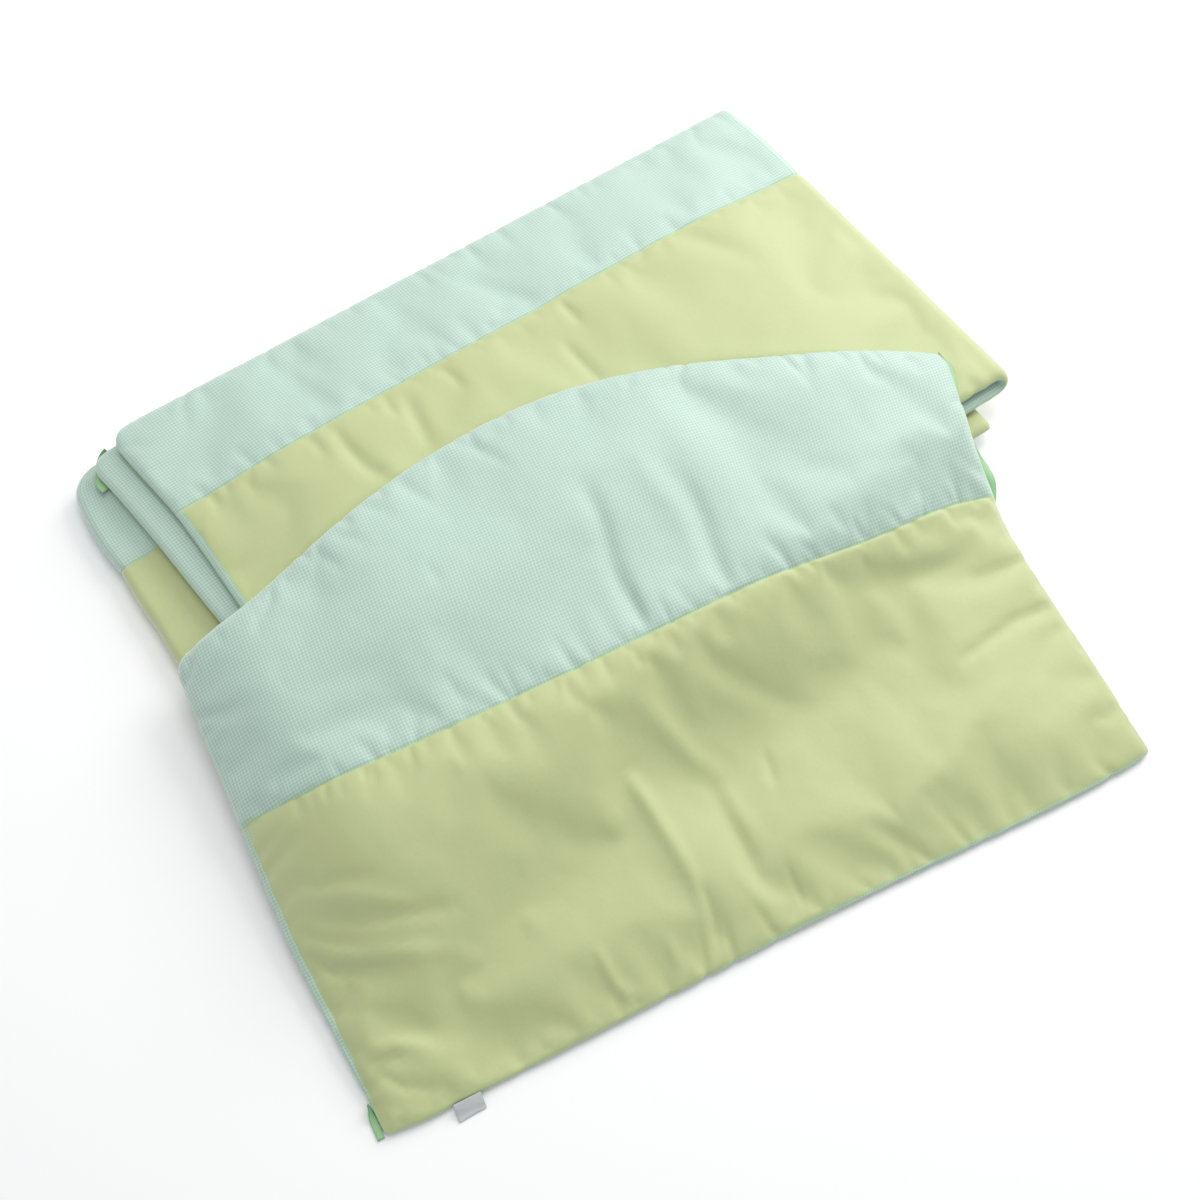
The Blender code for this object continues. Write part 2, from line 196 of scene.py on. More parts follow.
# Ribbons and tape: thickness, places across as shares of the width, steps from row to row
RIBBON_THICK = 0.0004
TAPE_THICK = 0.0003
STRIP_ACROSS = (-0.5, -0.485, -0.44, -0.22, 0.0, 0.22, 0.44, 0.485, 0.5)
STRIP_STEPS = 8

# Fabrics: periods of the check, the cotton's and the tape's threads and the satin's ribs
CHECK_PERIOD = 0.0024
THREAD_PERIOD = 0.0006
TAPE_THREAD_PERIOD = 0.0005
RIB_PERIOD = 0.00045
# Colours, in pairs for both ends of a blend
PANEL_GREEN = ((0.474, 0.533, 0.232, 1), (0.506, 0.560, 0.254, 1))
CHECK_MINT = ((0.548, 0.675, 0.602, 1), (0.338, 0.545, 0.445, 1))
# Painted shade with bounced green light, blended into the cloth along its seams and rims
SEAM_SHADE_GREEN = (0.36, 0.60, 0.20, 1)
SATIN_GREEN = ((0.30, 0.58, 0.27, 1), (0.40, 0.68, 0.35, 1))
# Painted shade at the start of each ribbon
SATIN_PAINTED_SHADE = (0.06, 0.30, 0.10, 1)
TAPE_GREY = ((0.54, 0.57, 0.58, 1), (0.66, 0.69, 0.70, 1))

# Studio: the floor, the sky, and each softbox's name, place, size, power and colour
FLOOR_SIZE = 12
FLOOR_DROP = 0.0004
FLOOR_WHITE = (0.97, 0.97, 0.97, 1)
SKY_WHITE = (0.97, 0.985, 1.0, 1)
SKY_STRENGTH = 0.52
SOFTBOXES = (
    ("key_softbox", (2.0, 0.6, 1.3), 1.4, 38.0, (1.0, 0.99, 0.975)),
    ("top_softbox", (0.55, 0.80, 2.2), 1.6, 24.0, (1.0, 1.0, 1.0)),
)

# Head pad across its width: share of the width, then the heights of its lower edge, its seam and its arch
HEAD_ACROSS = (
    (0.000, 0.0000, 0.2255, 0.3535),
    (0.050, -0.0024, 0.2215, 0.3595),
    (0.094, -0.0019, 0.2187, 0.3657),
    (0.181, -0.0023, 0.2172, 0.3841),
    (0.353, -0.0018, 0.2174, 0.4154),
    (0.517, -0.0008, 0.2200, 0.4255),
    (0.669, -0.0020, 0.2225, 0.4102),
    (0.810, -0.0042, 0.2204, 0.3801),
    (0.930, -0.0040, 0.2229, 0.3535),
    (1.000, -0.0010, 0.2190, 0.3340),
)
LOWER_EDGE, SEAM, ARCH = 1, 2, 3

# Head pad up its height: height over the lower edge, how far its left and right ends stand out
HEAD_ENDS = (
    (0.000, -0.0045, -0.0040),
    (0.047, 0.0002, -0.0040),
    (0.090, 0.0046, -0.0035),
    (0.135, 0.0082, -0.0035),
    (0.200, 0.0096, -0.0020),
    (0.222, 0.0094, -0.0012),
    (0.255, 0.0092, -0.0023),
    (0.290, 0.0098, 0.0036),
    (0.325, 0.0100, 0.0122),
    (0.355, 0.0098, 0.0150),
)
LEFT_END, RIGHT_END = 1, 2

# How far the backing comes round to the front: up the left end by height, along the lower edge by share
WRAP_LEFT = (
    (0.000, 0.0000),
    (0.015, 0.0008),
    (0.030, 0.0022),
    (0.050, 0.0038),
    (0.080, 0.0048),
    (0.120, 0.0054),
    (0.180, 0.0050),
    (0.226, 0.0045),
)
WRAP_LOWER = ((0.0, -0.002), (0.30, -0.002), (0.42, 0.0008), (0.55, 0.0020), (0.80, 0.0022), (1.0, 0.0014))

# Side pads up their height: height over the front edge, places along X of the fold, the top ply's end and the
# lower ply's end
SIDE_UPPER_ENDS = (
    (0.000, 0.3020, -0.2860, -0.2850),
    (0.060, 0.2998, -0.2860, -0.2920),
    (0.162, 0.2965, -0.2865, -0.3038),
    (0.249, 0.2928, -0.2885, -0.3114),
    (0.306, 0.2890, -0.2953, -0.3175),
    (0.345, 0.2862, -0.3000, -0.3235),
)
SIDE_LOWER_ENDS = (
    (0.000, -0.3490, 0.2710, 0.2440),
    (0.180, -0.3475, 0.2700, 0.2400),
    (0.250, -0.3475, 0.2690, 0.2385),
    (0.310, -0.3495, 0.2665, 0.2370),
    (0.357, -0.3440, 0.2650, 0.2360),
)
FOLD, TOP_END, LOWER_END = 1, 2, 3

# The camera, its lens and sensor in mm, the width in pixels of the picture that the creases were read in, and
# the turns in which a place in it is found on a surface
CAMERA_PLACE = (-0.26086, -0.33089, 0.96110)
CAMERA_TARGET = (-0.02085, -0.00398, 0.02910)
CAMERA_ROLL = radians(0.927)
CAMERA_LENS = 41.744
CAMERA_SENSOR = 36.0
PICTURE = 1200
SIGHT_TURNS = 12

# Creases of the head pad, each read in the picture: height in mm (negative for a trough), half width
# in mm, sharpness, places in the picture across and down
HEAD_CREASES = (
    (-0.7, 2.0, 2, ((326, 790), (328, 800))),
    (-0.7, 2.0, 2, ((341, 786), (344, 794))),
    (-0.7, 2.0, 2, ((364, 772), (366, 783))),
    (-0.8, 2.0, 2, ((373, 768), (376, 780))),
    (-2.2, 4.5, 1.5, ((302, 918), (364, 922), (455, 907))),
    (1.5, 4.5, 2, ((305, 895), (369, 898), (417, 905))),
    (-1.3, 3.5, 1.5, ((310, 891), (345, 878), (380, 875))),
    (-1.9, 3.5, 1.5, ((298, 932), (337, 944), (353, 942))),
    (2.1, 5.5, 2, ((318, 948), (359, 958), (458, 950))),
    (-1.8, 3.5, 1.5, ((308, 953), (332, 972), (359, 973))),
    (1.7, 3.5, 2, ((372, 1052), (391, 1045), (426, 1045))),
    (-1.5, 3.0, 1.5, ((369, 1064), (391, 1058), (401, 1052))),
    (-1.6, 3.5, 1.5, ((380, 1074), (404, 1086), (436, 1088))),
    (1.6, 4.0, 2, ((597, 950), (616, 985), (632, 997))),
    (-1.3, 3.0, 1.5, ((622, 999), (620, 1017))),
    (-1.2, 14.0, 2, ((434, 787), (525, 819), (632, 849))),
    (-2.8, 7.0, 2, ((709, 776), (740, 837), (759, 873))),
    (1.9, 8.0, 2, ((644, 707), (713, 776), (751, 841))),
    (2.2, 6.0, 2, ((633, 783), (667, 837), (696, 883), (709, 913))),
    (-2.6, 4.0, 1.5, ((702, 887), (713, 917), (719, 944))),
    (-1.6, 3.0, 1.5, ((700, 933), (707, 965))),
    (1.2, 4.0, 2, ((669, 940), (679, 965))),
    (-1.6, 3.0, 1.3, ((790, 868), (803, 900))),
    (-3.0, 3.8, 1.3, ((1054, 604), (1012, 623), (962, 661))),
    (1.6, 12.0, 2, ((993, 699), (943, 768), (893, 818))),
    (-1.0, 10.0, 2, ((824, 577), (847, 589), (905, 577), (966, 554))),
    (-1.7, 9.0, 2, ((686, 653), (774, 699), (797, 707))),
    (-1.7, 4.0, 1.5, ((767, 753), (774, 783))),
    (-2.0, 7.0, 2, ((586, 495), (603, 529), (615, 575), (643, 630))),
    (-2.2, 8.0, 2, ((683, 484), (698, 512), (709, 547), (728, 594))),
    (1.3, 9.0, 2, ((632, 463), (666, 501), (698, 552))),
    (-1.3, 4.0, 2, ((770, 547), (798, 578))),
    (-0.9, 2.5, 2, ((801, 561), (814, 571))),
    (-0.9, 2.5, 2, ((851, 524), (865, 544))),
    (-1.2, 8.0, 2, ((933, 452), (916, 484), (899, 518))),
    (-1.0, 10.0, 2, ((781, 475), (847, 469), (953, 446))),
    (-1.1, 5.0, 2, ((956, 455), (985, 475))),
    (-1.6, 4.0, 2, ((629, 593), (646, 627))),
    (-0.9, 3.0, 2, ((271, 596), (263, 617))),
    (-0.9, 3.0, 2, ((216, 628), (222, 641))),
    (-1.1, 3.5, 2, ((317, 551), (341, 567))),
    (-1.1, 3.5, 2, ((335, 533), (366, 542))),
    (-1.1, 3.5, 2, ((360, 504), (390, 511))),
    (-1.1, 4.0, 2, ((395, 478), (433, 502))),
    (-1.2, 4.0, 2, ((461, 439), (476, 447), (510, 465))),
    (-1.3, 4.0, 2, ((557, 646), (579, 672))),
    (-1.1, 4.0, 2, ((485, 680), (510, 700))),
    (-0.8, 4.0, 2, ((427, 567), (441, 583))),
    (-0.8, 4.0, 2, ((445, 677), (464, 701))),
    (-0.6, 3.0, 2, ((256, 609), (259, 631))),
)
# Creases of the upper side pad's top ply: the same columns
SIDE_CREASES = (
    (-1.2, 9.0, 2, ((262, 358), (302, 386), (329, 406))),
    (-1.4, 4.0, 1.5, ((381, 395), (398, 417))),
    (-1.8, 6.0, 2, ((407, 401), (430, 444))),
    (-1.8, 5.0, 1.5, ((329, 426), (366, 469), (390, 476))),
    (-1.2, 4.0, 2, ((305, 435), (325, 454))),
    (-0.9, 2.5, 2, ((265, 456), (272, 466))),
    (-2.4, 5.0, 1.5, ((565, 343), (602, 380))),
    (-0.9, 2.5, 2, ((224, 482), (229, 495))),
    (-0.9, 2.5, 2, ((243, 478), (248, 485))),
    (-1.4, 4.0, 2, ((436, 364), (464, 386))),
    (-1.3, 10.0, 2, ((286, 349), (329, 374))),
    (-1.8, 9.0, 2, ((673, 231), (749, 257))),
    (-1.8, 4.0, 1.5, ((559, 300), (581, 321))),
    (-1.9, 9.0, 2, ((455, 278), (538, 302))),
    (-1.5, 7.0, 2, ((345, 448), (386, 480))),
    (-1.0, 3.0, 2, ((210, 493), (219, 511))),
)
# The least of the curve that fades a crease out towards its two ends
CREASE_END = 0.15
MILLIMETRE = 0.001

# Tie at the right end of the arch: height on the head pad, distance out from its end, width, height over the
# bed, roll, bow across
ARCH_TIE = (
    (0.3370, -0.0010, 0.0026, 0.0026, 1.2, 0.0),
    (0.3310, 0.0012, 0.0046, 0.0018, 0.8, 0.0003),
    (0.3240, 0.0024, 0.0060, 0.0008, 0.2, 0.0004),
    (0.3130, 0.0020, 0.0062, 0.0005, 0.0, 0.0002),
    (0.3000, 0.0002, 0.0056, 0.0004, 0.0, 0.0),
    (0.2850, -0.0008, 0.0048, 0.0004, 0.0, 0.0),
    (0.2640, -0.0006, 0.0050, 0.0005, 0.0, 0.0),
    (0.2510, 0.0014, 0.0064, 0.0006, 0.1, 0.0002),
    (0.2420, 0.0040, 0.0080, 0.0008, 0.20, 0.0005),
    (0.2340, 0.0054, 0.0080, 0.0010, 0.25, 0.0006),
    (0.2260, 0.0034, 0.0066, 0.0008, 0.1, 0.0003),
    (0.2175, 0.0006, 0.0030, 0.0007, 0.0, 0.0),
)
# Tie at the lower left corner of the head pad: place on the pad, height, width, roll, bow across
FOOT_TIE = (
    (0.0008, 0.0225, 0.0050, 0.0024, 1.3, 0.0),
    (0.0009, 0.0190, 0.0036, 0.0038, 1.0, 0.0002),
    (0.0005, 0.0150, 0.0020, 0.0048, 0.4, 0.0003),
    (0.0003, 0.0110, 0.0011, 0.0052, 0.0, 0.0003),
    (0.0004, 0.0060, 0.0011, 0.0052, -0.1, 0.0003),
    (0.0005, -0.0006, 0.0010, 0.0050, -0.1, 0.0002),
)
# Tie at the corner of the upper side pad: place in plan, height, width, roll, bow across
SIDE_TIE = (
    (-0.3050, 0.1812, 0.0270, 0.0030, 0.9, 0.0),
    (-0.3090, 0.1803, 0.0262, 0.0026, 0.8, 0.0),
    (-0.3134, 0.1786, 0.0246, 0.0016, 0.4, 0.0),
    (-0.3174, 0.1748, 0.0226, 0.0018, 0.1, 0.0),
    (-0.3194, 0.1700, 0.0216, 0.0034, 0.0, 0.0),
    (-0.3213, 0.1647, 0.0215, 0.0066, 0.0, 0.0002),
    (-0.3216, 0.1588, 0.0215, 0.0086, 0.1, 0.0005),
    (-0.3204, 0.1532, 0.0214, 0.0084, 0.1, 0.0004),
)
# Care label, folded at its lower end, both cut ends sewn into the edge: place on the head pad, height
LABEL_WIDTH = 0.0196
LABEL_FOLDED = (
    (0.0600, -0.0020, 0.0056),
    (0.0600, -0.0062, 0.0036),
    (0.0598, -0.0098, 0.0016),
    (0.0597, -0.0118, 0.0010),
    (0.0597, -0.0124, 0.0007),
    (0.0597, -0.0118, 0.0004),
    (0.0598, -0.0098, 0.0009),
    (0.0600, -0.0062, 0.0028),
    (0.0600, -0.0024, 0.0047),
)


def smooth(t):
    """Goes from 0 to 1 with level ends."""
    t = np.clip(t, 0.0, 1.0)
    return t * t * t * (10 - 15 * t + 6 * t * t)


def roll(distance):
    """Share of the full thickness at a distance from a sewn edge."""
    t = np.clip(distance / EDGE_ROLL, 0.0, 1.0)
    return np.sqrt(1 - (1 - t) ** 2)


def spread(key, values, at):
    """Smooth curve through values, or through rows of them, one for each key, read at other keys."""
    last = len(key) - 1
    i = np.clip(np.searchsorted(key, at, side="right") - 1, 0, last - 1)
    before, after = np.maximum(i - 1, 0), np.minimum(i + 2, last)
    each = (..., *[None] * (values.ndim - 1))
    step = (key[i + 1] - key[i])[each]
    t = np.clip((at - key[i])[each] / step, 0.0, 1.0)
    near, far = values[i], values[i + 1]
    slope_near = (far - values[before]) / (key[i + 1] - key[before])[each] * step
    slope_far = (values[after] - near) / (key[after] - key[i])[each] * step
    rise = (far - near) * t * t * (3 - 2 * t)
    return near + rise + slope_near * t * (1 - t) ** 2 - slope_far * t * t * (1 - t)


def curve(rows, at, column):
    """Reads a column of a table as a smooth curve through its rows, by the table's first column."""
    table = np.array(rows)
    return spread(table[:, 0], table[:, column], at)


def stations(run, first, last, count):
    """Distances along each run: close together at its ends, even between them."""
    run = np.atleast_1d(np.asarray(run, dtype=float))[:, None]
    first = np.broadcast_to(np.array(first), (len(run), len(first)))
    last = run - np.broadcast_to(np.array(last)[::-1], (len(run), len(last)))
    share = np.arange(1, count) / count
    even = first[:, -1:] + (last[:, :1] - first[:, -1:]) * share
    return np.hstack([first, even, last])


def rounded(from_end, from_edge, radius):
    """Draws points near a square corner in onto a rounded one, by their distances from both edges."""
    a = 1 - from_end / radius
    b = 1 - from_edge / radius
    near = (a > 0) & (b > 0)
    a, b = np.clip(a, 0, 1), np.clip(b, 0, 1)
    in_end = np.where(near, radius * (1 - a * np.sqrt(1 - b * b / 2)), from_end)
    in_edge = np.where(near, radius * (1 - b * np.sqrt(1 - a * a / 2)), from_edge)
    return in_end, in_edge


def drift(x, y, cell, seed):
    """Soft random height from -1 to 1 with hollows and swells about one cell apart."""
    values = np.random.default_rng(seed).uniform(-1, 1, SWELL_CELLS)
    gx, gy = x / cell + SWELL_SHIFT[0], y / cell + SWELL_SHIFT[1]
    i, j = np.floor(gx).astype(int), np.floor(gy).astype(int)
    s, t = smooth(gx - i), smooth(gy - j)

    def at(a, b):
        return values[(i + a) % SWELL_CELLS[0], (j + b) % SWELL_CELLS[1]]

    return (at(0, 0) * (1 - s) + at(1, 0) * s) * (1 - t) + (at(0, 1) * (1 - s) + at(1, 1) * s) * t


def swells(rows, x, y, level=0):
    """Sum of the soft swells and hollows, in metres. Each level of the stack has its own."""
    return sum(height * drift(x, y, cell, seed + level) for height, cell, seed in rows)


def camera_turn():
    """The camera's rotation: it looks at its target, rolled a little."""
    look = Vector(CAMERA_TARGET) - Vector(CAMERA_PLACE)
    return look.to_track_quat("-Z", "Y").to_matrix().to_4x4() @ Matrix.Rotation(CAMERA_ROLL, 4, "Z")


def seen_at(place, height):
    """Plan position of what the camera sees at a place in the picture, on a surface of the given height."""
    scale = CAMERA_SENSOR / CAMERA_LENS / PICTURE
    ray = Vector(((place[0] - PICTURE / 2) * scale, (PICTURE / 2 - place[1]) * scale, -1.0))
    ray = camera_turn().to_3x3() @ ray
    z = STACK_PLIES * PLY_MIDDLE
    # The surface's height depends on the place, so both are found in turns
    for _ in range(SIGHT_TURNS):
        reach = (z - CAMERA_PLACE[2]) / ray.z
        x = CAMERA_PLACE[0] + ray.x * reach + SET_MIDDLE[0]
        y = CAMERA_PLACE[1] + ray.y * reach + SET_MIDDLE[1]
        z = 0.5 * z + 0.5 * float(height(x, y))
    return x, y


def head_top(x, y):
    """Height of the head pad's upper face, without its creases."""
    return head_bed(x, y) + 0.5 * (HEAD_PLY_EDGE + HEAD_PLY_MIDDLE)


def side_top(x, y):
    """Height of the upper side pad's upper face, without its creases."""
    return STACK_PLIES * (ply(x, y) + PLY_GAP) - PLY_GAP


def creases(rows, x, y, height, place_of):
    """Sum of the ridges and troughs at x and y, in metres. Each fades in and out along its length.

    They were seen on a surface of a height, and place_of brings places in plan to x and y.
    """
    total = np.zeros_like(x)
    for depth, half_width, sharpness, places in rows:
        points = np.array([place_of(*seen_at(place, height)) for place in places])
        steps = np.hypot(*np.diff(points, axis=0).T)
        whole = steps.sum()
        nearest = np.full_like(x, np.inf)
        share = np.zeros_like(x)
        done = 0.0
        for start, end, length in zip(points, points[1:], steps):
            dx, dy = (end - start) / length
            along = (x - start[0]) * dx + (y - start[1]) * dy
            walked = np.clip(along, 0, length)
            away = np.hypot(x - start[0] - walked * dx, y - start[1] - walked * dy)
            closer = away < nearest
            nearest = np.where(closer, away, nearest)
            share = np.where(closer, (done + walked) / whole, share)
            done += length
        fade = np.sqrt(np.clip(1 - (2 * share - 1) ** 4, CREASE_END, 1))
        total += depth * MILLIMETRE * fade * np.exp(-((nearest / (half_width * MILLIMETRE)) ** sharpness))
    return total


def puckers(gathers, along, away, run, level=0):
    """Small gathers that stand at right angles to a seam: along it, away from it, over its whole run."""
    seed, spacing, reach, depth = gathers
    rng = np.random.default_rng(seed + level)
    total = np.zeros_like(along)
    place = 0.0
    while place < run:
        place += spacing * rng.uniform(0.35, 1.85)
        length = reach * rng.uniform(0.35, 1.8)
        lean = rng.normal(0, 0.35)
        half_width = spacing * rng.uniform(0.12, 0.26)
        low = depth * (0.15 + 1.5 * rng.uniform() ** 2)
        width = half_width * (1 + 0.8 * away / length)
        across = (along - place - lean * away) / width
        total -= low * np.exp(-across * across) * np.exp(-((away / length) ** 2))
    return total


def seam_puckers(gathers, along, up, run, level=0):
    """Gathers at both sides of a seam: along it, up from it, over its whole run."""
    under = puckers(gathers["under seam"], along, np.abs(up), run, level)
    over = puckers(gathers["over seam"], along, np.abs(up), run, level)
    return np.where(up < 0, under, over)


def quads(number):
    """The four corners of each face of a grid of numbered points."""
    corners = (number[:-1, :-1], number[1:, :-1], number[1:, 1:], number[:-1, 1:])
    return np.stack(corners, axis=-1).reshape(-1, 4)


def valley(distance, depth, shoulder):
    """Depth of the cloth beside a seam, which it rolls down into from both sides."""
    t = 1 - np.clip(np.abs(distance) / shoulder, 0, 1)
    return -depth * (1 - np.sqrt(1 - t * t * 0.98))


def lines_kept(at, cell, sewn=()):
    """Grid lines at least a cell apart, with the first, the last and the sewn ones among them."""
    fixed = [0, *sewn, len(at) - 1]
    kept = []
    for first, last in zip(fixed, fixed[1:]):
        kept.append(first)
        count = max(int((at[last] - at[first]) / cell), 1)
        for k in range(1, count):
            line = int(np.argmin(np.abs(at - at[first] - (at[last] - at[first]) * k / count)))
            if kept[-1] < line < last:
                kept.append(line)
    return kept + [fixed[-1]]


def rim_draw(depth, distance, share=RIM_DRAW):
    """How far the rim draws in at a gather of some depth, at a distance from the rim."""
    return depth * share * np.exp(-distance / RIM_DRAW_REACH)


def held(from_seam, from_rim):
    """How firmly the wadding and the stitches hold the simulated cloth."""
    by_seam = HOLD_SEAM[0] * np.exp(-((from_seam / HOLD_SEAM[1]) ** 2))
    by_rim = HOLD_RIM[0] * np.exp(-((from_rim / HOLD_RIM[1]) ** 2))
    return HOLD_LEAST + by_seam + by_rim


def crumple(surface, across_at, up_at, sewn_lines, hold, spare, most):
    """How far each point of a grid of cloth, cut larger than its padding, moves when it buckles.

    It is a short cloth simulation, which holds the rims, the sewn grid lines and, as firmly as hold says,
    the rest of the cloth.
    """
    across, up = lines_kept(across_at, CLOTH_CELL), lines_kept(up_at, CLOTH_CELL, sewn_lines)
    start = surface[np.ix_(across, up)]
    count, rows = start.shape[:2]
    number = np.arange(count * rows).reshape(count, rows)
    mesh = bpy.data.meshes.new("crumple")
    mesh.from_pydata(start.reshape(-1, 3).tolist(), [], quads(number).tolist())
    cloth = bpy.data.objects.new("crumple", mesh)
    bpy.context.scene.collection.objects.link(cloth)
    sewn = np.zeros((count, rows), dtype=bool)
    sewn[[0, -1], :] = True
    sewn[:, [0, -1] + [up.index(line) for line in sewn_lines]] = True
    group = cloth.vertex_groups.new(name="held")
    for k, weight in enumerate(np.where(sewn, 1.0, hold[np.ix_(across, up)]).ravel().tolist()):
        group.add([k], weight, "REPLACE")
    modifier = cloth.modifiers.new("crumple", "CLOTH")
    modifier.point_cache.frame_end = CLOTH_FRAMES
    modifier.collision_settings.use_collision = False
    settings = modifier.settings
    for setting, value in CLOTH_SETTINGS.items():
        setattr(settings, setting, value)
    settings.vertex_group_mass = "held"
    settings.shrink_min = -spare
    settings.effector_weights.gravity = 0
    for frame_number in range(1, CLOTH_FRAMES + 1):
        bpy.context.scene.frame_set(frame_number)
    settled = cloth.evaluated_get(bpy.context.evaluated_depsgraph_get()).data.vertices
    end = np.empty(start.size)
    settled.foreach_get("co", end)
    bpy.context.scene.frame_set(1)
    bpy.data.objects.remove(cloth)
    bpy.data.meshes.remove(mesh)
    moved = end.reshape(start.shape) - start
    length = np.maximum(np.linalg.norm(moved, axis=-1, keepdims=True), 1e-9)
    moved *= most * np.tanh(length / most) / length
    moved = spread(across_at[across], moved.reshape(count, -1), across_at).reshape(-1, rows, 3)
    moved = moved.transpose(1, 0, 2)
    moved = spread(up_at[up], moved.reshape(rows, -1), up_at).reshape(len(up_at), -1, 3)
    return moved.transpose(1, 0, 2)


def ply(x, y):
    """Thickness of each ply of the stack, thinner near the stack's outline."""
    from_side = np.minimum(x - STACK_LEFT, STACK_RIGHT - x)
    from_end = np.minimum(y - STACK_FRONT, STACK_BACK - y)
    crown = smooth(from_side / CROWN_REACH) * smooth(from_end / CROWN_REACH)
    return PLY_EDGE + (PLY_MIDDLE - PLY_EDGE) * crown


def head_bed(x, y):
    """Height of the head pad's underside: on the stack, then down to the floor."""
    on_stack = STACK_PLIES * (ply(x, y) + PLY_GAP)
    (left, left_run), (right, right_run) = DRAPE_FRONT_RUNS
    run = left_run + (right_run - left_run) * np.clip((x - left) / (right - left), 0, 1)
    past_front = smooth((DRAPE_FRONT - y) / run)
    past_left = smooth((DRAPE_LEFT - x) / DRAPE_LEFT_RUN)
    return on_stack * (1 - past_front) * (1 - past_left)


def head_place(u, v):
    """Plan position of a point of the head pad, u across and v up from its lower left corner."""
    x = HEAD_CORNER[0] + u * np.cos(HEAD_TURN) - v * np.sin(HEAD_TURN)
    y = HEAD_CORNER[1] + u * np.sin(HEAD_TURN) + v * np.cos(HEAD_TURN)
    return x, y


def on_head(x, y):
    """Place on the head pad of a point in plan."""
    dx, dy = x - HEAD_CORNER[0], y - HEAD_CORNER[1]
    return dx * np.cos(HEAD_TURN) + dy * np.sin(HEAD_TURN), dy * np.cos(HEAD_TURN) - dx * np.sin(HEAD_TURN)


def in_plan(x, y):
    """A place in plan, for creases that are laid out there."""
    return x, y


def pressed_by_head(x, y):
    """How far the cloth of the upper side pad is pressed down, from 0 to 1, under and beside the head pad."""
    u, v = on_head(x, y)
    arch = curve(HEAD_ACROSS, np.clip(u / HEAD_WIDTH, 0, 1), ARCH)
    right = HEAD_WIDTH + UNDER_HEAD_RIGHT + curve(HEAD_ENDS, np.maximum(v, UNDER_HEAD_LOW), RIGHT_END)
    inside = np.minimum(np.minimum(arch - v, u + UNDER_HEAD_LEFT), right - u)
    return smooth((inside + UNDER_HEAD_START) / UNDER_HEAD_RUN)


def pressed_by_upper(x, place):
    """How far the cloth of the lower side pad is pressed down, from 0 to 1, under the upper side pad."""
    across = np.minimum(x - curve(SIDE_UPPER_ENDS, place, LOWER_END), UNDER_UPPER_END - x)
    inside = np.minimum(across, SIDE_UPPER_HEIGHT - place)
    return smooth((inside + UNDER_UPPER_START) / UNDER_UPPER_RUN)


def shell(name, front, back, uv, finish, trims):
    """Closes two grids of points, which share their rims, into one cloth-covered piece.

    uv is each point's place on the flat cloth. trims are distances for the finish, on the front and the back.
    """
    count, rows = front.shape[:2]
    number = np.arange(count * rows).reshape(count, rows)
    rear = number.copy()
    rear[1:-1, 1:-1] = count * rows + np.arange((count - 2) * (rows - 2)).reshape(count - 2, rows - 2)
    points = np.vstack([front.reshape(-1, 3), back[1:-1, 1:-1].reshape(-1, 3)])
    points[:, 0] -= SET_MIDDLE[0]
    points[:, 1] -= SET_MIDDLE[1]
    faces = np.vstack([quads(number), quads(rear)[:, ::-1]])
    mesh = bpy.data.meshes.new(name)
    mesh.from_pydata(points.tolist(), [], faces.tolist())
    flat = np.vstack([uv.reshape(-1, 2), uv[1:-1, 1:-1].reshape(-1, 2)])
    layer = mesh.uv_layers.new(name="cloth")
    layer.data.foreach_set("uv", flat[faces.ravel()].ravel())
    for label, (on_front, on_back) in trims.items():
        values = np.concatenate([on_front.ravel(), on_back[1:-1, 1:-1].ravel()])
        mesh.attributes.new(label, "FLOAT", "POINT").data.foreach_set("value", values.astype(np.float32))
    mesh.materials.append(finish)
    mesh.shade_smooth()
    piece = bpy.data.objects.new(name, mesh)
    bpy.context.scene.collection.objects.link(piece)
    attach(piece, "root")
    return piece


def cover(node, front, back, flat, row, trim, rim, finish):
    """A pad's cloth. trim is the distance to where the plain cloth ends, positive on the checked cloth."""
    front_trim = np.maximum(trim, -rim)
    edge = np.minimum(np.abs(front_trim), rim)
    trims = {"trim": (front_trim, rim + BACK_TRIM), "edge": (edge, rim)}
    piece = shell(node + "_cloth", front, back, np.stack([flat, row], axis=-1), finish, trims)
    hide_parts(node)


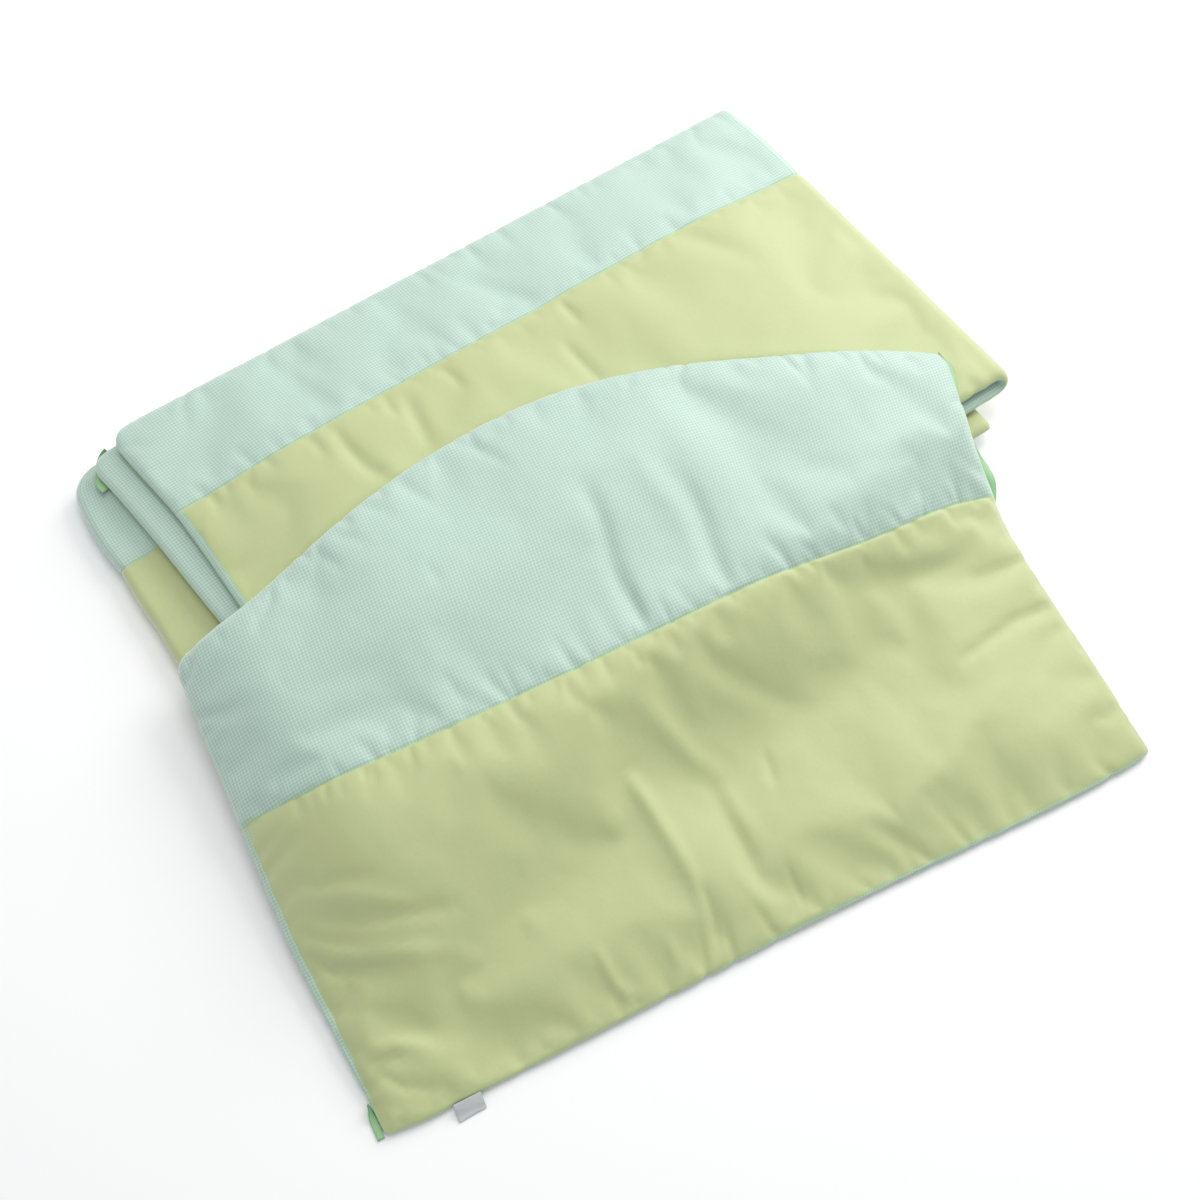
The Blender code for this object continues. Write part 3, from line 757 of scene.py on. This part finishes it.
def head_pad(finish):
    """The arched pad: crumpled cloth over the wadding, and a back that lies on the stack and the floor."""
    across_count, panel_count, band_count = HEAD_COUNTS
    shares = stations(HEAD_WIDTH, RIM_STEPS, RIM_STEPS, across_count)[0][:, None] / HEAD_WIDTH
    lines = (LOWER_EDGE, SEAM, ARCH)
    low, seam, top = (curve(HEAD_ACROSS, shares[:, 0], line)[:, None] for line in lines)
    panel = low + stations((seam - low)[:, 0], RIM_STEPS, SEAM_STEPS, panel_count)
    band = seam + stations((top - seam)[:, 0], SEAM_STEPS, RIM_STEPS, band_count)
    row = np.hstack([panel, band[:, 1:]])
    share = np.broadcast_to(shares, row.shape)

    from_end = np.minimum(share, 1 - share) * HEAD_WIDTH
    from_edge = np.minimum(row - low, top - row)
    nearer_low = row - low < top - row
    crown = smooth(from_end / CROWN_REACH) * smooth(from_edge / CROWN_REACH)
    # The filling ends sooner at the lower edge, whose rim draws in more steeply
    from_low = smooth((row - low) / LOW_REACH)
    low_crown = smooth(from_end / CROWN_REACH) * smooth((top - row) / CROWN_REACH) * from_low
    thick = HEAD_PLY_EDGE + (HEAD_PLY_MIDDLE - HEAD_PLY_EDGE) * np.maximum(crown, low_crown)
    thick = thick - LOW_DRAW * (1 - from_low)
    body = roll(from_end) * roll(from_edge)
    in_end, in_edge = rounded(from_end, from_edge, np.where(nearer_low, HEAD_ROUND_LOW, HEAD_ROUND_TOP))
    v = np.where(nearer_low, low + in_edge, top - in_edge)
    left = curve(HEAD_ENDS, v, LEFT_END)
    width = HEAD_WIDTH + left + curve(HEAD_ENDS, v, RIGHT_END)
    along = width * in_end / HEAD_WIDTH
    u = np.where(share < 0.5, along, width - along) - left

    # Gathers at the rims and at both sides of the seam
    flat_u = share * HEAD_WIDTH
    at_lower = puckers(HEAD_GATHERS["lower edge"], flat_u, row - low, HEAD_WIDTH)
    at_arch = puckers(HEAD_GATHERS["arch"], flat_u, top - row, HEAD_WIDTH)
    at_seam = seam_puckers(HEAD_GATHERS, flat_u, row - seam, HEAD_WIDTH)
    at_left = puckers(HEAD_GATHERS["left end"], row, flat_u, HEAD_END_RUN)
    at_right = puckers(HEAD_GATHERS["right end"], row, HEAD_WIDTH - flat_u, HEAD_END_RUN)
    gathers = at_lower + at_arch + at_seam + at_left + at_right

    # The rim draws in a little at each gather
    v = v - np.where(nearer_low, 1, -1) * rim_draw(at_lower + at_arch, from_edge, HEAD_EDGE_DRAW)
    u = u - np.where(share < 0.5, 1, -1) * rim_draw(at_left + at_right, from_end)
    x, y = head_place(u, v)
    bed = head_bed(x, y)

    wrap_left = curve(WRAP_LEFT, np.clip(row, 0, WRAP_LEFT[-1][0]), 1) - flat_u
    wrap_low = curve(WRAP_LOWER, share, 1) - (row - low)
    trim = np.maximum(np.maximum(row - seam, wrap_left), wrap_low)
    rim = np.minimum(from_end, from_edge)
    in_panel = smooth((seam - row) / HEM_FADE + 0.5)
    lift = creases(HEAD_CREASES, u, v, head_top, on_head) + gathers
    lift += valley(row - seam, SEAM_DEPTH, SEAM_SHOULDER)
    lift += in_panel * valley(wrap_left, HEM_DEPTH, HEM_SHOULDER)
    lift += swells(HEAD_SWELLS, u, v)
    for height, place, reach, start, start_run, end, end_run in BRIDGES:
        up_pad = np.exp(-(((v - place) / reach) ** 2))
        lift += height * up_pad * smooth((u - start) / start_run) * smooth((end - u) / end_run)
    lift *= body
    front = np.stack([x, y, bed + thick / 2 * (1 + body) + lift], axis=-1)
    back = np.stack([x, y, bed + thick / 2 * (1 - body)], axis=-1)
    middle_row = row[len(row) // 2]
    hold = held(row - seam, rim)
    moved = crumple(front, flat_u[:, 0], middle_row, [panel.shape[1] - 1], hold, *HEAD_CRUMPLE)
    front = front + moved * smooth(rim / MOVE_RIM)[..., None]
    cover("head_pad", front, back, flat_u, row, trim, rim, finish)


def side_pad(node, level, shape, rows_of_creases, counts, wrap, opening, finish):
    """One side pad folded once on itself, its top ply at level + 1 and its lower ply at level.

    Its shape is its height, back edge, ends, rounding of the fold's corners, and two offsets: the front one
    shortens the top ply's panel, the back one the lower ply's band near its end.
    """
    height, back_line, ends, fold_round, offsets = shape
    out = 1 if ends[0][FOLD] > ends[0][TOP_END] else -1
    radius = (PLY_EDGE + PLY_GAP) / 2
    seam = height - SIDE_BAND
    panel = stations(seam, RIM_STEPS, SEAM_STEPS, counts[2])[0]
    band = seam + stations(SIDE_BAND, SEAM_STEPS, RIM_STEPS, counts[3])[0]
    row = np.concatenate([panel, band[1:]])[None, :]
    run = abs(ends[0][FOLD] - ends[0][TOP_END])
    top = stations(run, RIM_STEPS, (0.0,), counts[0])[0]
    lower = stations(run, RIM_STEPS, (0.0,), counts[1])[0][::-1]
    turn = pi * np.arange(1, FOLD_STEPS) / FOLD_STEPS
    value = np.concatenate([top, turn, lower])[:, None]
    kind = np.repeat([TOP_END, FOLD, LOWER_END], [len(top), len(turn), len(lower)])[:, None]
    row, value, kind = np.broadcast_arrays(row, value, kind)
    on_top, on_fold = kind == TOP_END, kind == FOLD

    from_edge = np.minimum(row, height - row)
    corner = fold_round * (1 - np.sqrt(1 - np.clip(1 - from_edge / fold_round, 0, 1) ** 2))
    centre = curve(ends, row, FOLD) - out * (radius + PLY_EDGE / 2 + corner)
    in_end, in_edge = rounded(value, from_edge, np.where(row < height / 2, FRONT_ROUND, BACK_ROUND))
    in_edge = np.where(on_fold, from_edge, in_edge)
    place = np.where(row < height / 2, in_edge, height - in_edge)
    end = np.where(on_top, curve(ends, place, TOP_END), curve(ends, place, LOWER_END))
    x = np.where(on_fold, centre + out * radius * np.sin(value), end + (centre - end) * in_end / run)
    body = roll(from_edge) * np.where(on_fold, 1, roll(value))
    flat = np.where(on_top, value, np.where(on_fold, run + value * radius, 2 * run + pi * radius - value))

    # Gathers at the rims and at both sides of the seam
    whole = 2 * run + pi * radius
    at_front = puckers(SIDE_GATHERS["front edge"], flat, row, whole, level)
    at_back = puckers(SIDE_GATHERS["back edge"], flat, height - row, whole, level)
    at_seam = seam_puckers(SIDE_GATHERS, flat, row - seam, whole, level)
    from_end = np.minimum(flat, whole - flat)
    at_ends = puckers(SIDE_GATHERS["ends"], row, from_end, height, level)
    gathers = at_front + at_back + at_seam + at_ends
    place = place - np.where(row < height / 2, 1, -1) * rim_draw(at_front + at_back, from_edge)
    set_back = np.where(on_top, 1.0, np.where(on_fold, ((1 + np.cos(value)) / 2) ** 2, 0.0))
    at_end = np.where(kind == LOWER_END, 1 - smooth(value / BACK_STEP_RUN), 0.0)
    place = place + offsets[0] * set_back * np.clip(1 - place / seam, 0, 1)
    place = place - offsets[1] * at_end * np.maximum(place - seam, 0) / SIDE_BAND
    y = back_line[0] + back_line[1] * x - height + place

    lift = gathers + valley(row - seam, SIDE_SEAM_DEPTH, SEAM_SHOULDER)
    lift += swells(SIDE_SWELLS, flat, row, level)
    lift += np.where(on_top, creases(rows_of_creases, x, y, side_top, in_plan), 0)
    if not level:
        sinking = smooth((FOLD_SINK_RUN - (run - value)) / FOLD_SINK_RUN)
        lift -= FOLD_SINK * np.where(on_top, sinking, (1 + np.cos(value)) / 2 * on_fold)
    # Under another pad the cloth is pressed down
    pressed = pressed_by_head(x, y) if level else pressed_by_upper(x, place)
    pressed = np.where(on_top, pressed, np.where(on_fold, 0, PRESSED_LOWER))
    hollows = np.minimum(lift, 0) * (1 - PRESSED_HOLLOWS * pressed)
    lift = body * (hollows + np.maximum(lift, 0) * (1 - pressed))

    # The cloth inside the fold stands open
    from_fold = np.where(on_fold, 0, run - value)
    gape = opening * np.exp(-((from_fold / GAPE_REACH) ** 2))
    thick = np.where(on_fold, PLY_EDGE, ply(x, y)) - gape
    tilt = np.where(on_top, 0.0, np.where(on_fold, value, pi))
    steps = np.where(on_top, level + 1, level)
    fold_z = (level + 1) * PLY_EDGE + (level + 0.5) * PLY_GAP + radius * np.cos(value)
    z = np.where(on_fold, fold_z, (steps + 0.5) * ply(x, y) + steps * PLY_GAP)
    nx, nz = out * np.sin(tilt), np.cos(tilt)
    mx, mz = x + nx * gape / 2, z + nz * gape / 2
    half = thick / 2 * body
    front = np.stack([mx + nx * (half + lift), y, mz + nz * (half + lift)], axis=-1)
    back = np.stack([mx - nx * half, y, mz - nz * half], axis=-1)
    rim = np.minimum(from_end, from_edge)
    if level:
        count = len(top)
        hold = held(row - seam, rim)[:count]
        moved = crumple(front[:count], flat[:count, 0], row[0], [len(panel) - 1], hold, *SIDE_CRUMPLE)
        moved[..., 2] = np.minimum(moved[..., 2], SIDE_RISE * (1 - pressed[:count]))
        set_in = smooth(rim[:count] / MOVE_RIM) * smooth(from_fold[:count] / MOVE_FOLD)
        front[:count] += moved * set_in[..., None]

    grids = [front, back, flat, row, np.maximum(row - seam, wrap - flat), rim]
    # A fold on the left mirrors the grids, so they are turned round for their faces to point out
    if out < 0:
        grids = [grid[::-1] for grid in grids]
    cover(node, *grids, finish)


class Wire:
    """One output of a finish's nodes. Sums and products of wires and numbers add Math nodes."""

    def __init__(self, socket):
        self.socket = socket

    def node(self, kind, settings=None, values=None, output=0):
        """Adds a node: its settings first, then a number, a colour or a wire for each socket."""
        tree = self.socket.id_data
        made = tree.nodes.new(kind)
        for name, value in (settings or {}).items():
            setattr(made, name, value)
        for name, value in (values or {}).items():
            if isinstance(value, Wire):
                tree.links.new(value.socket, made.inputs[name])
            else:
                made.inputs[name].default_value = value
        return Wire(made.outputs[output])

    def math(self, operation, *values, clamp=False):
        settings = {"operation": operation, "use_clamp": clamp}
        return self.node("ShaderNodeMath", settings, dict(enumerate(values)))

    def __add__(self, other):
        return self.math("ADD", self, other)

    def __sub__(self, other):
        return self.math("SUBTRACT", self, other)

    def __mul__(self, other):
        return self.math("MULTIPLY", self, other)

    __radd__, __rmul__ = __add__, __mul__

    def wave(self, period):
        """Runs from -1 to 1 and back over each period."""
        return self.math("SINE", self * (2 * pi / period))

    def fade(self, distance):
        """Falls from 1 as the wire grows, to about a third at the distance."""
        return self.math("EXPONENT", self * (-1 / distance))

    def clamped(self):
        """The wire, held between 0 and 1."""
        return self.math("ADD", self, 0.0, clamp=True)

    def attribute(self, name):
        """A value that the mesh holds for each of its points."""
        return self.node("ShaderNodeAttribute", {"attribute_name": name}, {}, 2)

    def blend(self, low, high):
        """A colour between two, by this wire."""
        return self.node("ShaderNodeMix", {"data_type": "RGBA"}, {0: self, 6: low, 7: high}, 2)

    def shade(self, colour):
        """The colour, darkened or lightened by this wire."""
        grey = self.node("ShaderNodeCombineColor", {}, {0: self, 1: self, 2: self})
        settings = {"data_type": "RGBA", "blend_type": "MULTIPLY"}
        return self.node("ShaderNodeMix", settings, {0: 1.0, 6: colour, 7: grey}, 2)


def finish_of(name, roughness, **constants):
    """A new finish: its shader, and a wire to start from."""
    mat = bpy.data.materials.new(name)
    mat.use_nodes = True
    shader = mat.node_tree.nodes["Principled BSDF"]
    shader.inputs["Roughness"].default_value = roughness
    for socket, value in constants.items():
        shader.inputs[socket.replace("_", " ")].default_value = value
    return mat, shader, Wire(shader.outputs[0])


def connect(shader, colour, height, strength, distance, roughness):
    """Leads a finish's colour, relief and roughness into its shader."""
    links = shader.id_data.links
    links.new(colour.socket, shader.inputs["Base Color"])
    settings = {"Strength": strength, "Distance": distance, "Height": height}
    links.new(height.node("ShaderNodeBump", {}, settings).socket, shader.inputs["Normal"])
    links.new(roughness.socket, shader.inputs["Roughness"])


def flat_place(start):
    """Across and up on the flat cloth, in metres, and both as a vector."""
    place = start.node("ShaderNodeUVMap", {"uv_map": "cloth"})
    across, up = (place.node("ShaderNodeSeparateXYZ", {}, {0: place}, axis) for axis in (0, 1))
    return across, up, place


def noise(place, scale, detail=2.0, stretch=(1.0, 1.0, 1.0)):
    """Soft noise from 0 to 1, scale swells to the metre."""
    moved = place.node("ShaderNodeMapping", {}, {"Vector": place, "Scale": stretch})
    return place.node("ShaderNodeTexNoise", {}, {"Vector": moved, "Scale": scale, "Detail": detail}, 0)


def pad_cotton():
    """Plain green cotton on the panels, and mint and white checked cotton on the bands, backs and wraps."""
    sheen = {"Sheen_Weight": 0.8, "Sheen_Roughness": 0.5}
    mat, shader, start = finish_of("pad_cotton", 0.55, Specular_IOR_Level=0.9, **sheen)
    across, up, place = flat_place(start)
    trim, edge = start.attribute("trim"), start.attribute("edge")

    slub_across = noise(place, 1.0, 2.0, (120.0, 1500.0, 1.0))
    slub_up = noise(place, 1.0, 2.0, (1500.0, 120.0, 1.0))
    cloud = noise(place, 9.0)
    tone = 0.93 + 0.055 * (slub_across + slub_up) + 0.05 * (cloud - 0.5)
    green = cloud.blend(*PANEL_GREEN)

    stripe_across = (across.wave(CHECK_PERIOD) * 2.2 + 0.5).clamped()
    stripe_up = (up.wave(CHECK_PERIOD) * 2.2 + 0.5).clamped()
    check = ((stripe_across + stripe_up) * 0.5).blend(*CHECK_MINT)

    is_check = (trim * 8000.0 + 0.5).clamped()
    cloth = is_check.blend(green, check)
    # Painted shade: near a seam or a rim the cloth's colour is blended towards a saturated green, for the
    # shade and bounced green light there
    seam_shaded = (0.55 * edge.fade(0.0010)).blend(cloth, SEAM_SHADE_GREEN)
    colour = tone.shade(seam_shaded)

    threads = across.wave(THREAD_PERIOD) * up.wave(THREAD_PERIOD)
    wrinkles = noise(place, 260.0, 3.0)
    height = threads * 0.25 + (slub_across + slub_up) * 0.5 + wrinkles * 0.9
    rough = 0.50 + 0.12 * slub_across
    connect(shader, colour, height, 0.35, 0.0004, rough)
    return mat


def satin_ribbon():
    """Green satin ribbon with fine cross ribs and a firmer, darker selvedge, in shade where it starts."""
    mat, shader, start = finish_of("satin_ribbon", 0.34, Sheen_Weight=0.35, Anisotropic=0.5)
    up, place = flat_place(start)[1:]
    ribs = up.wave(RIB_PERIOD)
    cloud = noise(place, 60.0)
    satin = cloud.blend(*SATIN_GREEN)
    # Painted shade: the satin darkens over the first few millimetres from where the ribbon starts
    green = up.fade(0.006).blend(satin, SATIN_PAINTED_SHADE)
    selvedge = start.attribute("edge").fade(0.0005)
    colour = (0.97 + 0.03 * ribs - 0.3 * selvedge).shade(green)
    connect(shader, colour, ribs + 2.0 * selvedge, 0.35, 0.00012, 0.30 + 0.14 * cloud)
    return mat


def label_tape():
    """Grey-white woven tape."""
    mat, shader, start = finish_of("label_tape", 0.62, Sheen_Weight=0.15)
    across, up, place = flat_place(start)
    threads = across.wave(TAPE_THREAD_PERIOD) * up.wave(TAPE_THREAD_PERIOD)
    # Darker and a little rougher towards the tape's long sides
    near_sides = start.attribute("edge").fade(0.0006)
    tape = noise(place, 180.0).blend(*TAPE_GREY)
    colour = (0.98 + 0.03 * threads - 0.12 * near_sides).shade(tape)
    connect(shader, colour, threads, 0.4, 0.0002, 0.55 + 0.1 * near_sides)
    return mat


def strip(name, node, path, finish, thick=RIBBON_THICK):
    """A flat ribbon or tape. Each path row has its middle x, y, z, its width, its roll, the bow across it."""
    path = np.array(path, dtype=float)
    fine = np.linspace(0, len(path) - 1, STRIP_STEPS * (len(path) - 1) + 1)
    key = np.arange(len(path))
    rows = np.stack([curve(np.column_stack([key, path[:, k]]), fine, 1) for k in range(6)], axis=-1)
    middle, width, turn, bow = rows[:, :3], rows[:, 3], rows[:, 4], rows[:, 5]
    along = np.gradient(middle, axis=0)
    along /= np.linalg.norm(along, axis=1)[:, None]
    side = np.cross(along, (0.0, 0.0, 1.0))
    side /= np.maximum(np.linalg.norm(side, axis=1)[:, None], 1e-9)
    up = np.cross(side, along)
    across = side * np.cos(turn)[:, None] + up * np.sin(turn)[:, None]
    normal = np.cross(across, along)
    share = np.array(STRIP_ACROSS)
    walked = np.concatenate([[0], np.cumsum(np.linalg.norm(np.diff(middle, axis=0), axis=1))])
    base = middle[:, None] + across[:, None] * (width[:, None] * share)[..., None]
    base = base + normal[:, None] * (bow[:, None] * (1 - (2 * share) ** 2))[..., None]
    uv = np.stack(np.broadcast_arrays(width[:, None] * share, walked[:, None]), axis=-1)
    body = np.pad(np.ones((len(rows) - 2, len(share) - 2)), 1)
    offset = normal[:, None] * (body * thick / 2)[..., None]
    from_side = width[:, None] * (0.5 - np.abs(share))
    piece = shell(name, base + offset, base - offset, uv, finish, {"edge": (from_side, from_side)})
    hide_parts(node)
    return piece


def beside_head(height, out, width, lift, turn, bow):
    """A ribbon's row beside the head pad's right end: height on the pad, how far out its middle lies."""
    x, y = head_place(HEAD_WIDTH + curve(HEAD_ENDS, height, RIGHT_END) + out, height)
    return (x, y, head_bed(x, y) + lift, width, turn, bow)


def laid_on_head(rows):
    """Rows that start with a place on the head pad, brought into plan."""
    return [(*head_place(*row[:2]), *row[2:]) for row in rows]


def ties_and_label(ribbon, tape):
    """The three ties' free ends and the care label."""
    beside = [beside_head(*row) for row in ARCH_TIE]
    strip("tie_arch_ribbon", "tie_head_arch", beside, ribbon)
    strip("tie_foot_ribbon", "tie_head_foot", laid_on_head(FOOT_TIE), ribbon)
    strip("tie_side_ribbon", "tie_side_upper", SIDE_TIE, ribbon)
    folded = laid_on_head([(*row, LABEL_WIDTH, 0.0, 0.0) for row in LABEL_FOLDED])
    label = strip("care_label_tape", "care_label", folded, tape, TAPE_THICK)


def studio():
    """A plain pale floor, soft light and the camera."""
    bpy.ops.mesh.primitive_plane_add(size=FLOOR_SIZE, location=(0, 0, -FLOOR_DROP))
    floor = bpy.context.object
    floor.name = "floor"
    matte = finish_of("pale_floor", 0.9, Base_Color=FLOOR_WHITE, Specular_IOR_Level=0.1)[0]
    floor.data.materials.append(matte)

    world = bpy.data.worlds.new("studio")
    world.use_nodes = True
    sky = world.node_tree.nodes["Background"]
    sky.inputs["Color"].default_value = SKY_WHITE
    sky.inputs["Strength"].default_value = SKY_STRENGTH
    bpy.context.scene.world = world

    for name, place, size, power, colour in SOFTBOXES:
        light = bpy.data.lights.new(name, "AREA")
        light.shape = "SQUARE"
        light.size = size
        light.energy = power
        light.color = colour
        lamp = bpy.data.objects.new(name, light)
        lamp.location = place
        lamp.rotation_euler = (-Vector(place)).to_track_quat("-Z", "Y").to_euler()
        bpy.context.scene.collection.objects.link(lamp)

    camera = bpy.data.cameras.new("camera")
    camera.lens = CAMERA_LENS
    camera.sensor_width = CAMERA_SENSOR
    camera.clip_start = 0.01
    camera.clip_end = 50.0
    viewer = bpy.data.objects.new("camera", camera)
    viewer.matrix_world = Matrix.Translation(CAMERA_PLACE) @ camera_turn()
    bpy.context.scene.collection.objects.link(viewer)
    bpy.context.scene.camera = viewer
    bpy.context.scene.view_settings.view_transform = "Standard"


def main():
    cotton, ribbon, tape = pad_cotton(), satin_ribbon(), label_tape()
    head_pad(cotton)
    offsets = (FRONT_STEP, BACK_STEP)
    upper = (SIDE_UPPER_HEIGHT, SIDE_UPPER_BACK, SIDE_UPPER_ENDS, UPPER_FOLD_ROUND, offsets)
    lower = (SIDE_LOWER_HEIGHT, SIDE_LOWER_BACK, SIDE_LOWER_ENDS, LOWER_FOLD_ROUND, (0.0, 0.0))
    side_pad("side_pad_upper", 2, upper, SIDE_CREASES, UPPER_COUNTS, UPPER_WRAP, UPPER_OPENING, cotton)
    side_pad("side_pad_lower", 0, lower, (), LOWER_COUNTS, LOWER_WRAP, LOWER_OPENING, cotton)
    ties_and_label(ribbon, tape)
    studio()


main()
